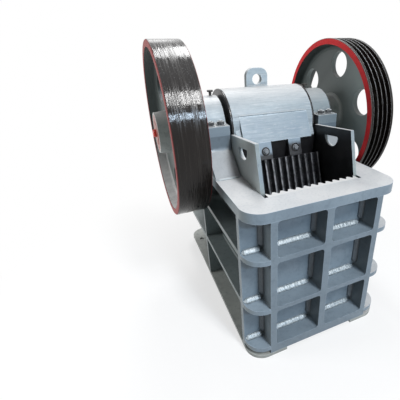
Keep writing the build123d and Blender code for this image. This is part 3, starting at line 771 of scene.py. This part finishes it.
def stud(mesh_code, matrix, radius, height):
    """A threaded stud end, its thread as rings."""
    pitch = radius * 0.28
    turns = int(height / pitch)
    profile = []
    for index in range(turns):
        profile.append((radius, index * pitch))
        profile.append((radius * 0.90, (index + 0.5) * pitch))
    profile.append((radius * 0.86, height))
    lathe(mesh_code, matrix, profile, 24)


def nut_on_stud(place, axis, size):
    """A washer, nut and stud end, standing on a face."""

    def build(mesh_code):
        spin = Matrix.Rotation(random.uniform(0.0, math.pi / 3), 4, "Z")
        matrix = basis(place, axis) @ spin
        washer_height, nut_height = size * 0.16, size * 0.85
        washer(mesh_code, matrix, size * 1.15, washer_height)
        lifted = matrix @ Matrix.Translation((0, 0, washer_height))
        hex_nut(mesh_code, lifted, size, nut_height)
        topped = lifted @ Matrix.Translation((0, 0, nut_height))
        stud(mesh_code, topped, size * 0.50, size * 0.22)

    return build


def round_washer(place, axis, radius, thickness):
    """A broad flat washer on a face."""

    def build(mesh_code):
        washer(mesh_code, basis(place, axis), radius, thickness)

    return build


def hex_screw(place, axis, size):
    """A small hexagon-head screw on a washer."""

    def build(mesh_code):
        spin = Matrix.Rotation(random.uniform(0.0, math.pi / 3), 4, "Z")
        matrix = basis(place, axis) @ spin
        washer_height = size * 0.2
        washer(mesh_code, matrix, size * 1.2, washer_height)
        lifted = matrix @ Matrix.Translation((0, 0, washer_height))
        hex_nut(mesh_code, lifted, size, size * 0.7)

    return build


def weld(start, end, first, second, size):
    """A rippled fillet bead in the corner of two faces, which look along first and second."""
    start, end = Vector(start), Vector(end)
    first, second = Vector(first), Vector(second)

    def build(mesh_code):
        length = (end - start).length
        steps = max(6, int(length / BEAD_STEP))
        rings = []
        for step in range(steps + 1):
            share = step / steps
            ripple = abs(math.sin(math.pi * share * length / BEAD_RIPPLE))
            swell = size * (0.92 + 0.11 * ripple + random.uniform(-0.05, 0.05))
            swell *= min(1.0, 0.35 + 6.0 * min(share, 1.0 - share))
            middle = start.lerp(end, share)
            ring = [mesh_code.verts.new(middle - (first + second) * BEAD_SINK)]
            for index in range(BEAD_ARC):
                angle = math.pi / 2 * index / (BEAD_ARC - 1)
                bulge = 1.0 - 0.22 * math.sin(2 * angle)
                offset = first * math.cos(angle) + second * math.sin(angle)
                ring.append(mesh_code.verts.new(middle + offset * swell * bulge))
            rings.append(ring)
        for ring, after in zip(rings, rings[1:]):
            for index in range(len(ring)):
                other = (index + 1) % len(ring)
                face = mesh_code.faces.new((ring[index], ring[other], after[other], after[index]))
                face.smooth = True
        mesh_code.faces.new(rings[0])
        mesh_code.faces.new(list(reversed(rings[-1])))

    return build


# Nuts and studs on each bearing cap's flanges, and screws round each bearing cover
for side, sign in SIDES:
    builders = []
    middle = (CAP_LOW.x + CAP_HIGH.x) / 2
    for x in (middle - CAP_BOLT_SPACING / 2, middle + CAP_BOLT_SPACING / 2):
        for y in (-CAP_BOLT_Y, CAP_BOLT_Y):
            builders.append(nut_on_stud(Vector((sign * x, SHAFT.y + y, FLANGE_TOP)), Z, NUT))
    piece(f"{side}_cap_bolts", "frame", "bare_steel", "nut", *builders)

    screws = []
    for index in range(COVER_SCREWS):
        angle = math.radians(30 + 360 / COVER_SCREWS * index)
        spoke = Vector((0, math.cos(angle), math.sin(angle))) * COVER_SCREW_CIRCLE
        place = Vector((sign * (COVER_LOW.x + COVER_THICKNESS), SHAFT.y, SHAFT.z)) + spoke
        screws.append(hex_screw(place, sign * X, COVER_SCREW))
    piece(f"{side}_cover_screws", "frame", "bare_steel", "bolt", *screws)

# A bolt and a broad washer on each of the two wedges above the moving jaw
apron_foot = Vector((0, APRON_LOW.y, APRON_LOW.z))
clamp_foot = Vector((0, CLAMP_LOW.y, JAW_TOP.z))
clamp_face = clamp_foot - apron_foot
clamp_normal = Vector((0, clamp_face.z, -clamp_face.y)).normalized()
washers, heads = [], []
for side, sign in SIDES:
    centre = apron_foot.lerp(clamp_foot, CLAMP_BOLT_SHARE)
    centre += sign * X * (CLAMP_LOW.x + CLAMP_HIGH.x) / 2
    washers.append(round_washer(centre, clamp_normal, CLAMP_WASHER, CLAMP_WASHER_THICKNESS))
    on_washer = centre + clamp_normal * CLAMP_WASHER_THICKNESS
    heads.append(hex_screw(on_washer, clamp_normal, CLAMP_BOLT))
piece("jaw_clamp_washers", "swing_jaw", "jaw_iron", "black", *washers)
piece("jaw_clamp_bolts", "swing_jaw", "bare_steel", "bolt", *heads)

# Bright beads where the level ribs meet the front wall, in the pockets and on the corner flanges
beads = []
for sign in (-1, 1):
    for top in RIB_TOPS:
        pocket = (MIDDLE_RIB / 2 + POCKET_INSET, POCKET_OUTER - POCKET_INSET)
        flange = (GRID_HIGH.x + FLANGE_INSET, WALL_HIGH.x - FLANGE_INSET)
        for near, far in (pocket, flange):
            start, end = (sign * near, GRID_HIGH.y, top), (sign * far, GRID_HIGH.y, top)
            beads.append(weld(start, end, Z, -Y, FRONT_BEAD))
piece("front_weld_beads", "frame", "frame_paint", "weld", *beads)

# Plain painted fillets up the corners of the pockets and of the outer ribs
beads = []
pocket_tops = (*(top - RIB_THICKNESS for top in RIB_TOPS[1:]), DECK_LOW.z)
for low, high in zip(RIB_TOPS, pocket_tops):
    for sign in (-1, 1):
        for x, look in ((MIDDLE_RIB / 2, X), (POCKET_OUTER, -X), (GRID_HIGH.x, X)):
            ends = (low + CORNER_INSET, high - CORNER_INSET)
            start, end = ((sign * x, GRID_HIGH.y, z) for z in ends)
            beads.append(weld(start, end, -Y, sign * look, FRONT_BEAD))
piece("front_corner_beads", "frame", "frame_paint", "fillet", *beads)

# Painted beads along the ribs, the upright rib and the foot of each side wall
beads = []
level_front, level_rear = RIB_TOPS[1:], RIB_TOPS[1:2]
rib_front, rib_rear = SHAFT.y - UPRIGHT_RIB / 2, SHAFT.y + UPRIGHT_RIB / 2
for side, sign in SIDES:
    low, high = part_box(f"{side}_side_wall")
    wall_x = sign * max(abs(low.x), abs(high.x))
    out = sign * X
    front, rear = low.y + POCKET_INSET, high.y - POCKET_INSET
    runs = [(front, rib_front - RIB_INSET, top) for top in level_front]
    runs += [(rib_rear + RIB_INSET, rear, top) for top in level_rear]
    for start, end, z in runs:
        beads.append(weld((wall_x, start, z), (wall_x, end, z), Z, out, SIDE_BEAD))
    for y, look in ((rib_front, -Y), (rib_rear, Y)):
        below = (FOOT_TOP + RIB_INSET, RIB_TOPS[1] - RIB_THICKNESS - RIB_INSET)
        above = (RIB_TOPS[1] + RIB_INSET, DECK_LOW.z - FLANGE_INSET)
        for foot, head in (below, above):
            beads.append(weld((wall_x, y, foot), (wall_x, y, head), look, out, SIDE_BEAD))
    beads.append(weld((wall_x, front, FOOT_TOP), (wall_x, rear, FOOT_TOP), Z, out, SIDE_BEAD))
piece("side_weld_beads", "frame", "frame_paint", "side", *beads)

# Beads round the pedestals' feet
beads = []
for side, sign in SIDES:
    x, z = sign * PEDESTAL_HIGH.x, DECK_HIGH.z
    ends = (PEDESTAL_LOW.y + FLANGE_INSET, PEDESTAL_HIGH.y - FLANGE_INSET)
    start, end = ((x, y, z) for y in ends)
    beads.append(weld(start, end, Z, sign * X, PEDESTAL_BEAD))
    inner, outer = PEDESTAL_LOW.x + FLANGE_INSET, PEDESTAL_HIGH.x - FLANGE_INSET
    ends = sorted((sign * inner, sign * outer))
    for y, look in ((PEDESTAL_LOW.y, -Y), (PEDESTAL_HIGH.y, Y)):
        beads.append(weld((ends[0], y, z), (ends[1], y, z), Z, look, PEDESTAL_BEAD))
piece("pedestal_weld_beads", "frame", "frame_paint", "barrel", *beads)

# Beads at the foot of the lifting lug and along the apron's crease
beads = []
for y, look in ((LUG_LOW.y, -Y), (LUG_HIGH.y, Y)):
    foot = math.sqrt(BARREL_RADIUS**2 - (y - SHAFT.y) ** 2) + SHAFT.z
    beads.append(weld((LUG_LOW.x, y, foot), (LUG_HIGH.x, y, foot), look, Z, LUG_BEAD))
crease_ends = (BARREL_LOW.x + RIB_INSET, BARREL_HIGH.x - RIB_INSET)
start, end = ((x, APRON_HIGH.y, APRON_HIGH.z) for x in crease_ends)
beads.append(weld(start, end, -Y, Z, CREASE_BEAD))
piece("swing_jaw_weld_beads", "swing_jaw", "frame_paint", "barrel", *beads)


# Floor, light and camera


def floor():
    """A wide pale floor under the feet."""
    mesh_code = bmesh.new()
    bmesh.ops.create_grid(mesh_code, x_segments=1, y_segments=1, size=14.0)
    mesh = bpy.data.meshes.new("floor")
    mesh_code.to_mesh(mesh)
    mesh_code.free()
    mesh.materials.append(pale_floor())
    made = bpy.data.objects.new("floor", mesh)
    bpy.context.scene.collection.objects.link(made)


def soft_light(name, place, target, size, power, tint=(1.0, 1.0, 1.0)):
    """A rectangular softbox aimed at a point."""
    data = bpy.data.lights.new(name, "AREA")
    data.shape = "RECTANGLE"
    data.size, data.size_y = size
    data.energy = power
    data.color = tint
    made = bpy.data.objects.new(name, data)
    made.location = place
    made.rotation_euler = (Vector(target) - Vector(place)).to_track_quat("-Z", "Y").to_euler()
    bpy.context.scene.collection.objects.link(made)


def white_world():
    """Even light on the object; the camera and reflections see a white backdrop."""
    world = bpy.data.worlds.new("backdrop")
    world.use_nodes = True
    tree = world.node_tree
    background = tree.nodes["Background"]
    background.inputs["Color"].default_value = (1.0, 1.0, 1.0, 1.0)
    path = tree.nodes.new("ShaderNodeLightPath")
    seen = path.outputs["Is Camera Ray"]
    for ray in ("Is Glossy Ray", "Is Transmission Ray"):
        either = tree.nodes.new("ShaderNodeMath")
        either.operation = "MAXIMUM"
        tree.links.new(seen, either.inputs[0])
        tree.links.new(path.outputs[ray], either.inputs[1])
        seen = either.outputs[0]
    strength = tree.nodes.new("ShaderNodeMapRange")
    strength.inputs["To Min"].default_value = AMBIENT
    strength.inputs["To Max"].default_value = 1.0
    tree.links.new(seen, strength.inputs["Value"])
    tree.links.new(strength.outputs["Result"], background.inputs["Strength"])
    bpy.context.scene.world = world


def photo_camera():
    """The camera where the photograph was taken from."""
    data = bpy.data.cameras.new("photo_camera")
    data.sensor_width = SENSOR
    data.lens = FOCAL_PIXELS / FRAME_PIXELS * SENSOR
    data.shift_x = (FRAME_PIXELS / 2 - AXIS_PIXEL.x) / FRAME_PIXELS
    data.shift_y = (AXIS_PIXEL.y - FRAME_PIXELS / 2) / FRAME_PIXELS
    data.clip_start, data.clip_end = 0.05, 50.0
    made = bpy.data.objects.new("photo_camera", data)
    turn = Matrix.Rotation(-CAMERA_YAW, 3, "Z")
    turn @= Matrix.Rotation(math.pi / 2 + CAMERA_PITCH, 3, "X")
    turn @= Matrix.Rotation(CAMERA_ROLL, 3, "Z")
    made.location = CAMERA_PLACE
    made.rotation_euler = turn.to_euler()
    bpy.context.scene.collection.objects.link(made)
    bpy.context.scene.camera = made


floor()
white_world()
LIGHT_TARGET = (-0.1, 0.0, 0.7)
PALE_BLUE = (0.68, 0.83, 1.0)
soft_light("key_light", (0.79, -3.31, 4.81), LIGHT_TARGET, (0.75, 1.45), 192.0)
soft_light("low_light", (0.72, -4.53, 3.36), LIGHT_TARGET, (0.7, 0.65), 92.0, PALE_BLUE)
soft_light("back_light", (0.69, 2.49, 5.30), LIGHT_TARGET, (1.0, 2.0), 105.0)
soft_light("rear_card", (-0.20, 4.50, 3.30), (-0.4, 0.1, 1.1), (1.4, 1.3), 9.0)
soft_light("left_light", (-4.30, 1.20, 1.70), (-0.1, 0.0, 0.6), (1.6, 1.4), 100.0)
photo_camera()
bpy.context.scene.view_settings.view_transform = "Standard"
